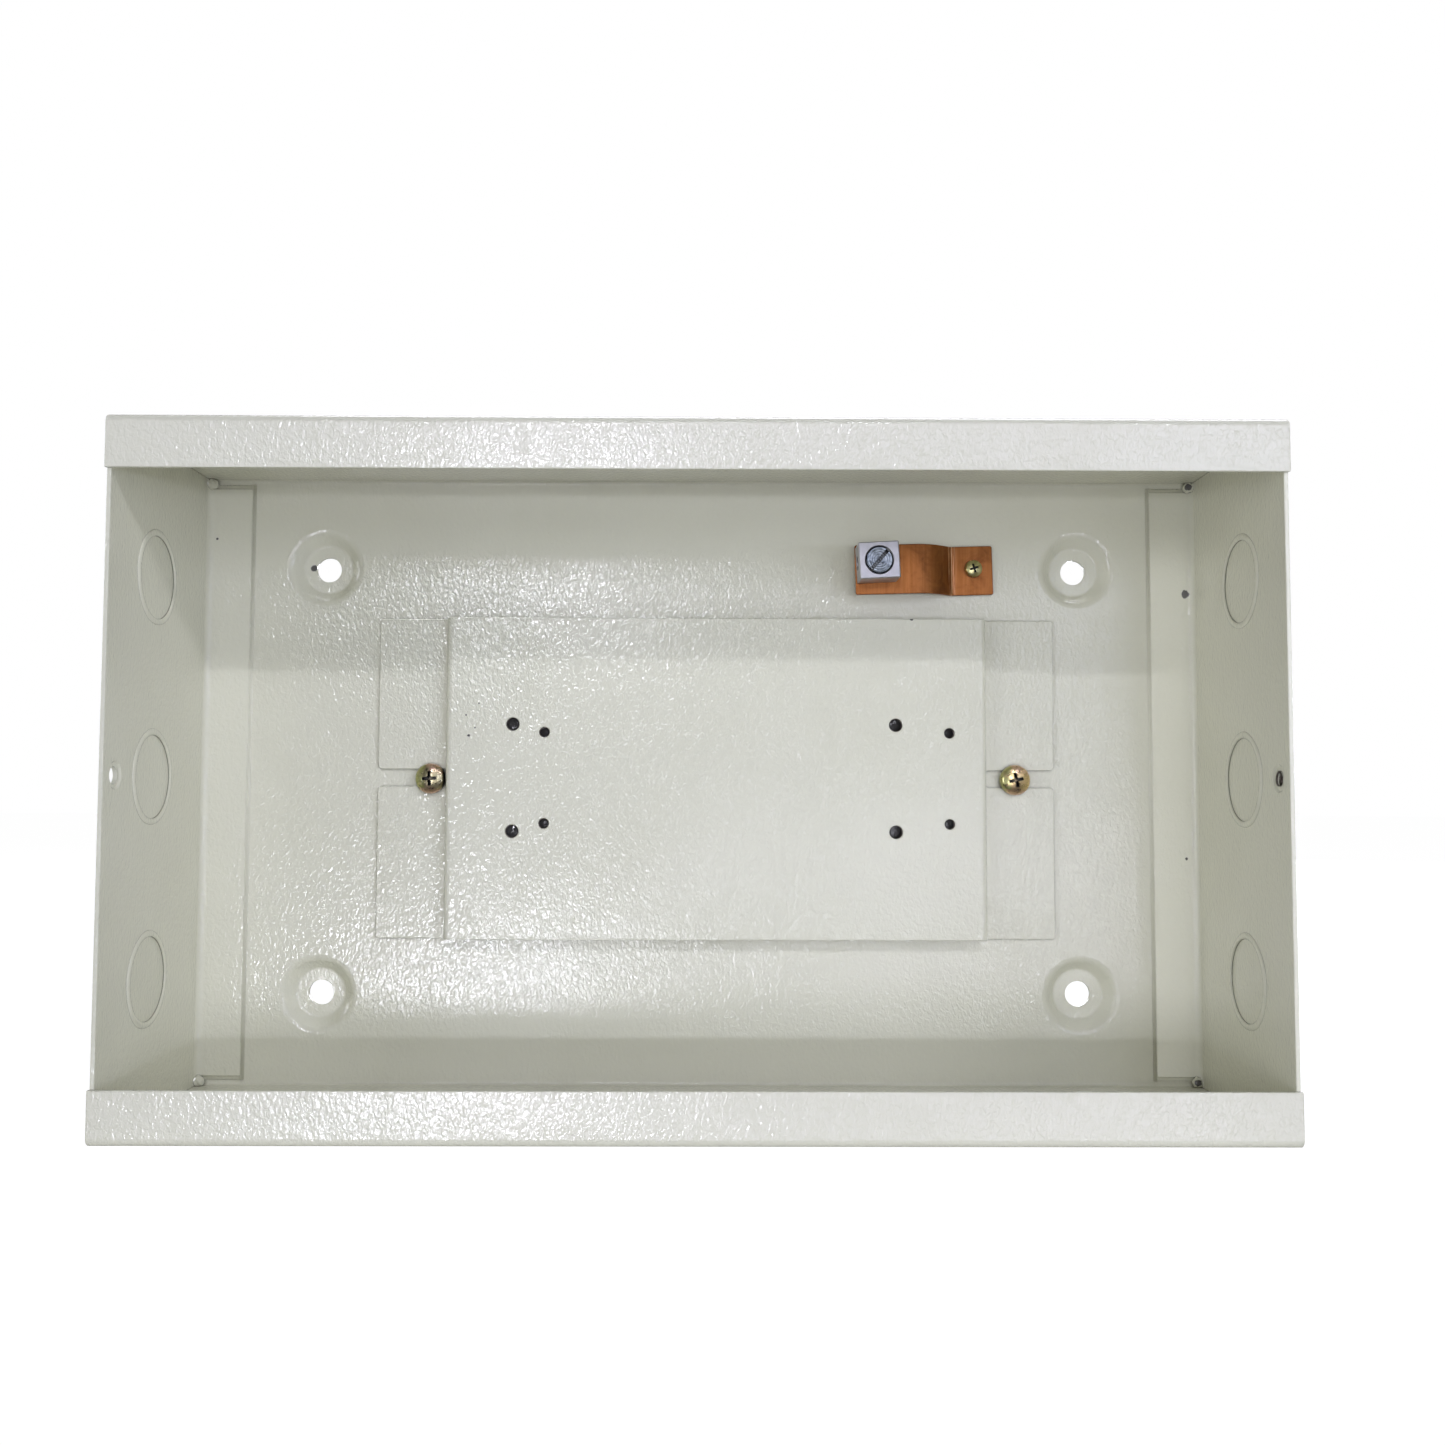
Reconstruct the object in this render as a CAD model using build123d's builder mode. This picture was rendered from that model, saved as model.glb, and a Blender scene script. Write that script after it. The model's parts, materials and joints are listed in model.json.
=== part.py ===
from build123d import *
import math
import os

os.makedirs("parts", exist_ok=True)

# Residential load center, opened: the sheet-steel back box with its device mounting plate
# and its grounding strap.  Millimetres.  X is to the right, +Z up, and the box opens
# towards -Y.  The origin is on the wall, at the middle of the four wall-screw holes:
# the plane Y = 0 touches the four dishes pressed backward out of the back panel.

# ------------------------------------------------------------------ driving dimensions
# Box
box_width = 320.0
box_height = 195.0
box_depth = 75.0  # back panel's rear face to the front lips
sheet = 1.2
bend_inner = 1.0  # inside radius of the wrap's bends
front_lip = 14.7
edge_break = 0.25  # softened sheet edges

# Wall-screw holes, each at the bottom of a dish that stands the box off the wall
wall_hole_spacing_x = 242.0
wall_hole_spacing_z = 136.0
wall_hole_diameter = 8.0
dish_depth = 4.2
dish_shoulder_radius = 11.3
dish_floor_radius = 7.9
dish_shoulder_blend = 2.5
dish_floor_blend = 1.0

# Side panels, which close the ends of the wrap
panel_inset = 0.3
panel_bend_inner = 2.0
panel_flange = 14.0
panel_flange_gap = 1.5  # flange end to the top and bottom walls
relief_radius = 1.6
knockout_diameter = 25.0
knockout_clearance = 0.08
knockout_offset = 0.4  # how far each disc is struck outward
knockout_spacing = 58.2
knockout_from_back = 39.9
cover_hole_from_front = 8.7
cover_hole_diameter = 5.0
cover_tapped_diameter = 4.2
cover_dimple_diameter = 9.0
cover_dimple_depth = 0.5
cover_collar_length = 1.5

# Mounting plate, held on the back panel by two screws in open slots
plate_centre_x = 5.0
plate_centre_z = 0.6
plate_width = 215.6
plate_height = 101.6
plate_flange = 22.2
plate_rise = 4.6
plate_bend_inner = 0.6
plate_corner = 0.8
slot_width = 5.6
slot_end_gap = 0.3  # inner end of a slot to the raised middle
slot_corner = 1.3
large_hole_diameter = 4.2
large_holes_x = 1.2
large_hole_spacing_x = 121.2
large_hole_spacing_z = 33.8
small_hole_diameter = 3.3
small_holes_x = 14.7
small_hole_spacing_x = 128.2
small_hole_spacing_z = 28.8
tapped_collar_wall = 0.8
tapped_collar_length = 1.2
hole_mouth_blend = 0.35

# Plate screws, M5 pan head
plate_screw_left_x = -85.8
plate_screw_right_x = 100.2
plate_screw_z = 0.3
m5_diameter = 5.0
m5_pitch = 0.8
m5_head_diameter = 9.6
m5_head_height = 3.6
m5_head_dome = 8.5
m5_recess_span = 4.7
m5_recess_wing = 1.1
m5_recess_depth = 2.2
plate_screw_length = 6.0
plate_screw_collar_diameter = 6.8
plate_screw_collar_length = 1.8
thread_clearance = 0.05  # radial, between a screw's crests and its bore

# Grounding strap, held by one M3 screw and turned a little about it
strap_screw_x = 87.5
strap_screw_z = 68.2
strap_turn = 1.6
strap_width = 15.8
strap_thickness = 1.3
strap_below_screw = 0.5  # strap's middle line to the screw
strap_tab_end = 6.3  # screw to the strap's right end
strap_foot = 7.5  # screw to the foot of the rise
strap_shoulder = 15.2  # screw to the corner above the rise
strap_length = 38.7  # screw to the strap's left end
strap_rise = 7.0
strap_foot_blend = 1.6
strap_shoulder_blend = 12.0
strap_corner = 0.6
strap_screw_hole = 3.4
m3_diameter = 3.0
m3_pitch = 0.5
m3_head_diameter = 5.6
m3_head_height = 2.3
m3_head_dome = 5.0
m3_recess_span = 2.9
m3_recess_wing = 0.75
m3_recess_depth = 1.4
strap_screw_length = 5.0
strap_screw_collar_diameter = 4.6
strap_screw_collar_length = 1.4

# Ground lug on the strap's raised end, clamped to it from below by an M4 screw
lug_along = 32.1  # strap screw to the lug's middle, along the strap
lug_across = 0.9
lug_turn = 1.6  # beyond the strap's own turn
lug_length = 12.6
lug_width = 11.5
lug_height = 9.8
lug_floor = 2.0
lug_edge = 0.3
wire_bore_diameter = 4.4
lug_thread_diameter = 8.0
lug_thread_pitch = 1.0
lug_mouth_diameter = 9.2
driver_slot_turn = 49.0
driver_slot_width = 1.2
driver_slot_depth = 1.4
m4_diameter = 4.0
m4_pitch = 0.7
m4_head_diameter = 7.6
m4_head_height = 2.8
m4_head_dome = 6.5
m4_recess_span = 4.0
m4_recess_wing = 1.0
m4_recess_depth = 1.6
fixing_hole_in_strap = 4.4

# ------------------------------------------------------------------ derived places
back_outer_y = -dish_depth
back_inner_y = back_outer_y - sheet
front_y = back_outer_y - box_depth
lip_inner_y = front_y + sheet
half_width = box_width / 2
half_height = box_height / 2
inner_half_height = half_height - sheet
panel_outer_x = half_width - panel_inset
panel_inner_x = panel_outer_x - sheet
plate_front_y = back_inner_y - plate_rise - sheet
flange_front_y = back_inner_y - sheet
step_left_x = plate_centre_x - plate_width / 2 + plate_flange
step_right_x = plate_centre_x + plate_width / 2 - plate_flange
cover_hole_y = front_y + cover_hole_from_front
knockout_y = back_inner_y - knockout_from_back


# ------------------------------------------------------------------ helpers
def folded_section(plane, points, radii, thickness, side):
    """The section of a folded sheet.

    points run along one face of the sheet, radii blend its inner points in turn, and the
    thickness is laid on the given side.
    """
    with BuildSketch(plane) as section:
        with BuildLine() as face_line:
            Polyline(*points)
            for point, radius in zip(points[1:-1], radii):
                fillet(face_line.vertices().sort_by_distance(point)[0], radius=radius)
            offset(amount=thickness, side=side)
        make_face()
    return section.sketch


def seat_plane(x, y, z):
    """A plane square to the box front, whose normal points out of the box."""
    return Plane(origin=(x, y, z), x_dir=(1, 0, 0), z_dir=(0, -1, 0))


def spun(seat, degrees):
    """The same seat with its x and y axes turned about its normal."""
    angle = math.radians(degrees)
    x_dir = seat.x_dir * math.cos(angle) + seat.y_dir * math.sin(angle)
    return Plane(origin=seat.origin, x_dir=x_dir, z_dir=seat.z_dir)


def half_section(seat):
    """The plane through a seat's axis: its x runs outward, its y runs along the axis."""
    return Plane(origin=seat.origin, x_dir=seat.x_dir, z_dir=-seat.y_dir)


def turned(seat, outline, mode=Mode.ADD):
    """Add or cut the solid turned from an outline about a seat's axis."""
    with BuildSketch(half_section(seat)) as section:
        with BuildLine():
            Polyline(*outline, close=True)
        make_face()
    revolve(section.sketch, axis=Axis(seat.origin, seat.z_dir), mode=mode)


def threaded_shank(seat, crest_radius, pitch, length):
    """Add a shank below the seat plane, its thread shown as one ring groove per pitch."""
    root_radius = crest_radius - 0.61 * pitch
    flat = pitch / 8
    outline = [(0, 0), (crest_radius, 0)]
    for turn in range(int((length - pitch / 2) / pitch)):
        top = -turn * pitch - flat
        outline += [
            (crest_radius, top),
            (root_radius, top - pitch / 2 + flat / 2),
            (root_radius, top - pitch / 2 - flat / 2),
            (crest_radius, top - pitch + flat),
        ]
    outline += [
        (crest_radius, -length + pitch / 2),
        (crest_radius - pitch / 2, -length),
        (0, -length),
    ]
    turned(seat, outline)


def pan_head(seat, diameter, height, dome_radius, corner_radius):
    """Add a domed pan head above the seat plane."""
    radius = diameter / 2
    side_height = height - dome_radius + math.sqrt(dome_radius**2 - radius**2)
    with BuildSketch(half_section(seat)) as section:
        with BuildLine():
            Line((0, 0), (radius, 0))
            Line((radius, 0), (radius, side_height))
            RadiusArc((radius, side_height), (0, height), -dome_radius)
            Line((0, height), (0, 0))
        make_face()
        shoulder = section.vertices().sort_by_distance((0, 0))[-1]
        fillet(shoulder, radius=corner_radius)
    revolve(section.sketch, axis=Axis(seat.origin, seat.z_dir))


def cross_recess(seat, head_height, span, wing, depth):
    """Cut a four-winged driver recess into the top of a head."""
    top = Plane(origin=seat.origin + seat.z_dir * head_height, x_dir=seat.x_dir, z_dir=seat.z_dir)
    with BuildSketch(top) as recess:
        Rectangle(span, wing)
        Rectangle(wing, span)
        Circle(wing * 0.85)
    extrude(recess.sketch, amount=-depth, taper=9, mode=Mode.SUBTRACT)


def drilled(seat, diameter, depth):
    """Cut a hole from the seat plane, back by the given depth."""
    with BuildSketch(seat) as hole:
        Circle(diameter / 2)
    extrude(hole.sketch, amount=-depth, mode=Mode.SUBTRACT)


def collar(seat, diameter, length):
    """Add a drawn collar running back from the seat plane."""
    with BuildSketch(seat) as ring:
        Circle(diameter / 2)
    extrude(ring.sketch, amount=-length)


def dish_section(shift, shoulder_blend, floor_blend, level, floor_level, close_level):
    """Half section of a wall dish, from its axis out past its shoulder."""
    outer = dish_shoulder_radius + 2 * dish_shoulder_blend
    shoulder = (dish_shoulder_radius + shift, level)
    floor = (dish_floor_radius + shift, floor_level)
    with BuildSketch(Plane.XY) as section:
        with BuildLine():
            Polyline(
                (0, close_level),
                (outer, close_level),
                (outer, level),
                shoulder,
                floor,
                (0, floor_level),
                close=True,
            )
        make_face()
        fillet(section.vertices().sort_by_distance(shoulder)[0], radius=shoulder_blend)
        fillet(section.vertices().sort_by_distance(floor)[0], radius=floor_blend)
    return section.sketch


# ------------------------------------------------------------------ enclosure body
# One folded sheet: top wall, back panel and bottom wall, with a lip turned in at each front
# edge.  Its section is drawn looking along X and pulled the full width of the box.
bend_outer = bend_inner + sheet
wrap_outline = [
    (front_y, half_height - front_lip),
    (front_y, half_height),
    (back_outer_y, half_height),
    (back_outer_y, -half_height),
    (front_y, -half_height),
    (front_y, -half_height + front_lip),
]
wrap_section = folded_section(Plane.YZ, wrap_outline, [bend_outer] * 4, sheet, Side.RIGHT)

# Each dish is pressed backward: its hollow is cut out of a boss added behind the panel.
dish_run = dish_shoulder_radius - dish_floor_radius
dish_shift = sheet * (math.hypot(dish_run, dish_depth) - dish_run) / dish_depth
dish_boss = dish_section(
    dish_shift,
    dish_shoulder_blend - sheet,
    dish_floor_blend + sheet,
    back_outer_y,
    0,
    back_inner_y + sheet / 2,
)
dish_hollow = dish_section(
    0,
    dish_shoulder_blend,
    dish_floor_blend,
    back_inner_y,
    -sheet,
    back_inner_y - 1,
)
wall_holes = GridLocations(wall_hole_spacing_x, wall_hole_spacing_z, 2, 2)
wall_hole_places = [Location((place.position.X, 0, place.position.Y)) for place in wall_holes]

lip_edge_z = half_height - front_lip
with BuildPart() as enclosure_body:
    extrude(wrap_section, amount=half_width, both=True)
    lip_edges = enclosure_body.edges().filter_by(Axis.X).filter_by(
        lambda edge: abs(abs(edge.center().Z) - lip_edge_z) < edge_break
    )
    end_faces = enclosure_body.faces().filter_by(Axis.X)
    fillet(lip_edges + end_faces.edges(), radius=edge_break)
    for place in wall_hole_places:
        revolve(place * dish_boss, axis=Axis(place.position, (0, 1, 0)))
        revolve(place * dish_hollow, axis=Axis(place.position, (0, 1, 0)), mode=Mode.SUBTRACT)
        seat = seat_plane(place.position.X, back_inner_y, place.position.Z)
        drilled(seat, wall_hole_diameter, 2 * dish_depth)
    for screw_x in (plate_screw_left_x, plate_screw_right_x):
        collar(
            seat_plane(screw_x, back_outer_y - sheet / 2, plate_screw_z),
            plate_screw_collar_diameter,
            plate_screw_collar_length + sheet / 2,
        )
        drilled(seat_plane(screw_x, back_inner_y, plate_screw_z), m5_diameter, dish_depth)
    collar(
        seat_plane(strap_screw_x, back_outer_y - sheet / 2, strap_screw_z),
        strap_screw_collar_diameter,
        strap_screw_collar_length + sheet / 2,
    )
    drilled(seat_plane(strap_screw_x, back_inner_y, strap_screw_z), m3_diameter, dish_depth)
enclosure_body.part.label = "enclosure_body"
export_step(enclosure_body.part, "parts/enclosure_body.step")


# ------------------------------------------------------------------ side panels
def knockout_seat(side, level):
    """The plane on a side panel's outer face, at a knockout, whose normal leaves the box."""
    origin = (side * panel_outer_x, knockout_y, level * knockout_spacing)
    return Plane(origin=origin, x_dir=(0, side, 0), z_dir=(side, 0, 0))


def side_panel(side):
    """Add an end wall with its back flange; side is -1 for the left and +1 for the right."""
    outline = [
        (side * panel_outer_x, lip_inner_y),
        (side * panel_outer_x, back_inner_y),
        (side * (panel_inner_x - panel_flange), back_inner_y),
    ]
    inward = Side.LEFT if side > 0 else Side.RIGHT
    section = folded_section(Plane.XY, outline, [panel_bend_inner + sheet], sheet, inward)
    extrude(section, amount=inner_half_height, both=True)

    # Seen from the side: corners clear of the wrap's bends, and the back flange cut short
    # with a round relief at each end of the panel's own bend.
    bend_start_y = back_inner_y - panel_bend_inner - sheet
    flange_end = inner_half_height - panel_flange_gap
    side_view = Plane(origin=(side * half_width, 0, 0), x_dir=(0, 1, 0), z_dir=(1, 0, 0))
    with BuildSketch(side_view) as trims:
        for end in (-1, 1):
            with Locations((bend_start_y + relief_radius, end * (flange_end + half_height) / 2)):
                Rectangle(
                    panel_bend_inner + sheet,
                    half_height - flange_end,
                    align=(Align.MIN, Align.CENTER),
                )
            with Locations((bend_start_y + relief_radius, end * flange_end)):
                Circle(relief_radius)
            with Locations((lip_inner_y, end * inner_half_height)):
                Rectangle(2 * bend_inner, 2 * bend_inner, rotation=45)
    extrude(trims.sketch, amount=-side * (panel_flange + half_width - panel_inner_x + 1), mode=Mode.SUBTRACT)

    for level in (-1, 0, 1):
        drilled(knockout_seat(side, level), knockout_diameter, 2 * sheet)


def free_panel_edges(panel):
    """The edges of a panel that show: its front, its flange's end and its knockout rims."""
    flange_x = panel_inner_x - panel_flange
    uprights = panel.edges().filter_by(Axis.Z)
    front = uprights.filter_by_position(Axis.Y, lip_inner_y, lip_inner_y)
    flange = uprights.filter_by(lambda edge: abs(abs(edge.center().X) - flange_x) < edge_break)
    rims = panel.edges().filter_by(GeomType.CIRCLE).filter_by(
        lambda edge: abs(edge.radius - knockout_diameter / 2) < knockout_clearance
    )
    return front + flange + rims


def cover_screw_dimple(seat):
    """Press the panel outward around a cover screw, between its faces' own planes."""
    with BuildSketch(seat) as boss:
        Circle(cover_dimple_diameter / 2)
    extrude(boss.sketch, amount=cover_dimple_depth, taper=50)
    inner = Plane(origin=seat.origin - seat.z_dir * sheet, x_dir=seat.x_dir, z_dir=seat.z_dir)
    with BuildSketch(inner) as hollow:
        Circle(cover_dimple_diameter / 2 - cover_dimple_depth)
    extrude(hollow.sketch, amount=cover_dimple_depth, taper=50, mode=Mode.SUBTRACT)


left_cover_seat = Plane(origin=(-panel_outer_x, cover_hole_y, 0), x_dir=(0, -1, 0), z_dir=(-1, 0, 0))
right_cover_seat = Plane(origin=(panel_outer_x, cover_hole_y, 0), x_dir=(0, 1, 0), z_dir=(1, 0, 0))

with BuildPart() as side_panel_left:
    side_panel(-1)
    fillet(free_panel_edges(side_panel_left), radius=edge_break)
    cover_screw_dimple(left_cover_seat)
    drilled(left_cover_seat.offset(2 * cover_dimple_depth), cover_hole_diameter, 4 * sheet)
side_panel_left.part.label = "side_panel_left"
export_step(side_panel_left.part, "parts/side_panel_left.step")

with BuildPart() as side_panel_right:
    side_panel(1)
    fillet(free_panel_edges(side_panel_right), radius=edge_break)
    cover_screw_dimple(right_cover_seat)
    collar(
        right_cover_seat.offset(cover_collar_length),
        cover_tapped_diameter + 2 * tapped_collar_wall,
        cover_collar_length + sheet / 4,
    )
    drilled(right_cover_seat.offset(2 * cover_collar_length), cover_tapped_diameter, 6 * sheet)
side_panel_right.part.label = "side_panel_right"
export_step(side_panel_right.part, "parts/side_panel_right.step")

# ------------------------------------------------------------------ knockouts
for side_name, side in (("left", -1), ("right", 1)):
    for level_name, level in (("bottom", -1), ("middle", 0), ("top", 1)):
        disc_seat = knockout_seat(side, level).offset(knockout_offset)
        with BuildPart() as knockout:
            with BuildSketch(disc_seat):
                Circle(knockout_diameter / 2 - knockout_clearance)
            extrude(amount=-sheet)
            fillet(knockout.edges(), radius=edge_break)
        knockout.part.label = f"knockout_{side_name}_{level_name}"
        export_step(knockout.part, f"parts/{knockout.part.label}.step")

# ------------------------------------------------------------------ mounting plate
# A shallow pan: the middle is raised off the back panel, and a flange each side lies on it.
plate_outline = [
    (plate_centre_x - plate_width / 2, back_inner_y),
    (step_left_x + sheet, back_inner_y),
    (step_left_x + sheet, back_inner_y - plate_rise),
    (step_right_x - sheet, back_inner_y - plate_rise),
    (step_right_x - sheet, back_inner_y),
    (plate_centre_x + plate_width / 2, back_inner_y),
]
foot_blend = plate_bend_inner + sheet
plate_blends = [foot_blend, plate_bend_inner, plate_bend_inner, foot_blend]
plate_section = folded_section(
    Plane.XY.offset(plate_centre_z), plate_outline, plate_blends, sheet, Side.RIGHT
)
plate_plan_seat = seat_plane(plate_centre_x, back_inner_y + sheet, plate_centre_z)
slot_length = plate_flange - slot_end_gap
slot_middle = plate_width / 2 - slot_length / 2
device_holes = [
    (large_hole_diameter, large_holes_x, large_hole_spacing_x, large_hole_spacing_z),
    (small_hole_diameter, small_holes_x, small_hole_spacing_x, small_hole_spacing_z),
]

with BuildPart() as mounting_plate:
    extrude(plate_section, amount=plate_height / 2, both=True)
    with BuildSketch(plate_plan_seat) as plate_plan:
        Rectangle(plate_width, plate_height)
        fillet(plate_plan.vertices(), radius=plate_corner)
        with Locations((-slot_middle, 0), (slot_middle, 0)):
            Rectangle(slot_length, slot_width, mode=Mode.SUBTRACT)
        slot_corners = plate_plan.vertices().filter_by(
            lambda corner: abs(plate_plan_seat.to_local_coords(corner).Y) < slot_width
        )
        fillet(slot_corners, radius=slot_corner)
    extrude(amount=plate_rise + 3 * sheet, mode=Mode.INTERSECT)
    plate_ends = mounting_plate.faces().filter_by(Axis.Z).group_by(Axis.Z)
    fillet(plate_ends[0].edges() + plate_ends[-1].edges(), radius=edge_break)
    for diameter, middle_x, spacing_x, spacing_z in device_holes:
        for across in (-0.5, 0.5):
            for up in (-0.5, 0.5):
                hole_seat = seat_plane(
                    middle_x + across * spacing_x, plate_front_y, plate_centre_z + up * spacing_z
                )
                collar(
                    hole_seat.offset(-sheet / 2),
                    diameter + 2 * tapped_collar_wall,
                    tapped_collar_length + sheet / 2,
                )
                drilled(hole_seat, diameter, plate_rise)
    mouths = mounting_plate.edges().filter_by(GeomType.CIRCLE)
    fillet(mouths.filter_by_position(Axis.Y, plate_front_y, plate_front_y), radius=hole_mouth_blend)
mounting_plate.part.label = "mounting_plate"
export_step(mounting_plate.part, "parts/mounting_plate.step")


# ------------------------------------------------------------------ plate screws
def plate_screw(screw_x, degrees):
    """Add an M5 pan head screw whose head bears on the plate's flange."""
    seat = spun(seat_plane(screw_x, flange_front_y, plate_screw_z), degrees)
    pan_head(seat, m5_head_diameter, m5_head_height, m5_head_dome, m5_head_height / 2)
    threaded_shank(seat, m5_diameter / 2 - thread_clearance, m5_pitch, plate_screw_length)
    cross_recess(seat, m5_head_height, m5_recess_span, m5_recess_wing, m5_recess_depth)


with BuildPart() as plate_screw_left:
    plate_screw(plate_screw_left_x, 2)
plate_screw_left.part.label = "plate_screw_left"
export_step(plate_screw_left.part, "parts/plate_screw_left.step")

with BuildPart() as plate_screw_right:
    plate_screw(plate_screw_right_x, 13)
plate_screw_right.part.label = "plate_screw_right"
export_step(plate_screw_right.part, "parts/plate_screw_right.step")

# ------------------------------------------------------------------ grounding strap
# A flat tab lies on the back panel, then the strap rises to a platform for the lug.
strap_seat = spun(seat_plane(strap_screw_x, back_inner_y, strap_screw_z), strap_turn)
strap_outline = [
    (strap_tab_end, 0),
    (-strap_foot, 0),
    (-strap_shoulder, strap_rise),
    (-strap_length, strap_rise),
]
strap_section = folded_section(
    half_section(strap_seat),
    strap_outline,
    [strap_foot_blend + strap_thickness, strap_shoulder_blend],
    strap_thickness,
    Side.RIGHT,
)
lug_middle = strap_seat.from_local_coords((-lug_along, lug_across, strap_rise + strap_thickness))
lug_seat = spun(
    Plane(origin=lug_middle, x_dir=strap_seat.x_dir, z_dir=strap_seat.z_dir), lug_turn
)

with BuildPart() as ground_strap:
    extrude(strap_section, amount=strap_width, both=True)
    with BuildSketch(strap_seat.offset(-strap_thickness)):
        with Locations(((strap_tab_end - strap_length) / 2, -strap_below_screw)):
            RectangleRounded(strap_tab_end + strap_length, strap_width, strap_corner)
    extrude(amount=strap_rise + 3 * strap_thickness, mode=Mode.INTERSECT)
    fillet(ground_strap.edges(), radius=edge_break)
    drilled(strap_seat.offset(2 * strap_thickness), strap_screw_hole, 3 * strap_thickness)
    drilled(lug_seat.offset(strap_thickness), fixing_hole_in_strap, 3 * strap_thickness)
ground_strap.part.label = "ground_strap"
export_step(ground_strap.part, "parts/ground_strap.step")

with BuildPart() as strap_screw:
    screw_seat = spun(strap_seat.offset(strap_thickness), 15)
    pan_head(screw_seat, m3_head_diameter, m3_head_height, m3_head_dome, m3_head_height / 2)
    threaded_shank(screw_seat, m3_diameter / 2 - thread_clearance, m3_pitch, strap_screw_length)
    cross_recess(screw_seat, m3_head_height, m3_recess_span, m3_recess_wing, m3_recess_depth)
strap_screw.part.label = "strap_screw"
export_step(strap_screw.part, "parts/strap_screw.step")

# ------------------------------------------------------------------ ground lug
# The wire lies in a bore along the strap, and the clamp screw comes down on it through a
# pocket as deep as the bore's own floor.
wire_centre = lug_floor + wire_bore_diameter / 2
lug_roof = lug_height - lug_floor - wire_bore_diameter
wire_plane = Plane(
    origin=lug_seat.from_local_coords((lug_length, 0, wire_centre)),
    x_dir=lug_seat.y_dir,
    z_dir=lug_seat.x_dir,
)
lug_top = lug_seat.offset(lug_height)
thread_radius = lug_thread_diameter / 2
mouth_radius = lug_mouth_diameter / 2
clamp_pocket = [
    (0, 1),
    (mouth_radius + 1, 1),
    (thread_radius, thread_radius - mouth_radius),
    (thread_radius, lug_floor - lug_height),
    (0, lug_floor - lug_height),
]

with BuildPart() as ground_lug:
    with BuildSketch(lug_seat):
        Rectangle(lug_length, lug_width)
    extrude(amount=lug_height)
    chamfer(ground_lug.edges(), length=lug_edge)
    drilled(wire_plane, wire_bore_diameter, 2 * lug_length)
    drilled(lug_seat.offset(2 * lug_floor), m4_diameter, 4 * lug_floor)
    turned(lug_top, clamp_pocket, Mode.SUBTRACT)
ground_lug.part.label = "ground_lug"
export_step(ground_lug.part, "parts/ground_lug.step")

with BuildPart() as lug_clamp_screw:
    clamp_seat = spun(lug_top, driver_slot_turn - strap_turn - lug_turn)
    threaded_shank(
        clamp_seat, thread_radius - thread_clearance, lug_thread_pitch, lug_roof
    )
    with BuildSketch(clamp_seat):
        Rectangle(lug_thread_diameter, driver_slot_width)
    extrude(amount=-driver_slot_depth, mode=Mode.SUBTRACT)
lug_clamp_screw.part.label = "lug_clamp_screw"
export_step(lug_clamp_screw.part, "parts/lug_clamp_screw.step")

with BuildPart() as lug_fixing_screw:
    fixing_seat = Plane(
        origin=lug_seat.offset(-strap_thickness).origin,
        x_dir=lug_seat.x_dir,
        z_dir=-lug_seat.z_dir,
    )
    pan_head(fixing_seat, m4_head_diameter, m4_head_height, m4_head_dome, m4_head_height / 2)
    threaded_shank(
        fixing_seat, m4_diameter / 2 - thread_clearance, m4_pitch, strap_thickness + lug_floor
    )
    cross_recess(fixing_seat, m4_head_height, m4_recess_span, m4_recess_wing, m4_recess_depth)
lug_fixing_screw.part.label = "lug_fixing_screw"
export_step(lug_fixing_screw.part, "parts/lug_fixing_screw.step")
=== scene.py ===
import json
import math
import bpy
import bmesh
from mathutils import Matrix, Vector


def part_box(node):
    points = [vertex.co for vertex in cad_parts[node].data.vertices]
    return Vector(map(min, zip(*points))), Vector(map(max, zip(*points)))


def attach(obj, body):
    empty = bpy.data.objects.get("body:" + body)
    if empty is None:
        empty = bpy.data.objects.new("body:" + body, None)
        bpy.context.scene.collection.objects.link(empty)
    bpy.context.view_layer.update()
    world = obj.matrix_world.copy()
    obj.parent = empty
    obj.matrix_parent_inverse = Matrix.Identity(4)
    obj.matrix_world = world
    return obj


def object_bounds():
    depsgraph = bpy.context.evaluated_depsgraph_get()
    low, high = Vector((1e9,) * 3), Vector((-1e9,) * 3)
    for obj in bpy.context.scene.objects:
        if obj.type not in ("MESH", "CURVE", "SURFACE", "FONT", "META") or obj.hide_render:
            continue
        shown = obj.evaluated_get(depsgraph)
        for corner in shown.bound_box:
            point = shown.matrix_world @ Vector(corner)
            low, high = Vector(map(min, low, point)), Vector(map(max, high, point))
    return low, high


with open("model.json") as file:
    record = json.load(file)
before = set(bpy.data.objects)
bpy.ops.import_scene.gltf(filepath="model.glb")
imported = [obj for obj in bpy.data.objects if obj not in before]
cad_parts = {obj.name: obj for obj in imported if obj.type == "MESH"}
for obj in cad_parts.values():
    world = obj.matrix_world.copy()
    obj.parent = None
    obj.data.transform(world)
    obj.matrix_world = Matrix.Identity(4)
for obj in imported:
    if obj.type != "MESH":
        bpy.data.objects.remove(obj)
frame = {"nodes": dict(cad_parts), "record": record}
cad_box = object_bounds()

# Residential load center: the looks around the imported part.  Metres, in the part's own frame:
# X to the right, Y into the wall, Z up, and the box opens towards -Y.
MM = 0.001
mounts = {mount["name"]: mount for mount in frame["record"]["mounts"]}
low, high = cad_box
floor_z = low.z
sheet = 1.2 * MM
inner_wall_x = 158.5 * MM
back_inner_y = -5.4 * MM


def middle(name):
    """The middle of a CAD node's box."""
    start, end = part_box(name)
    return (start + end) / 2


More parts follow.
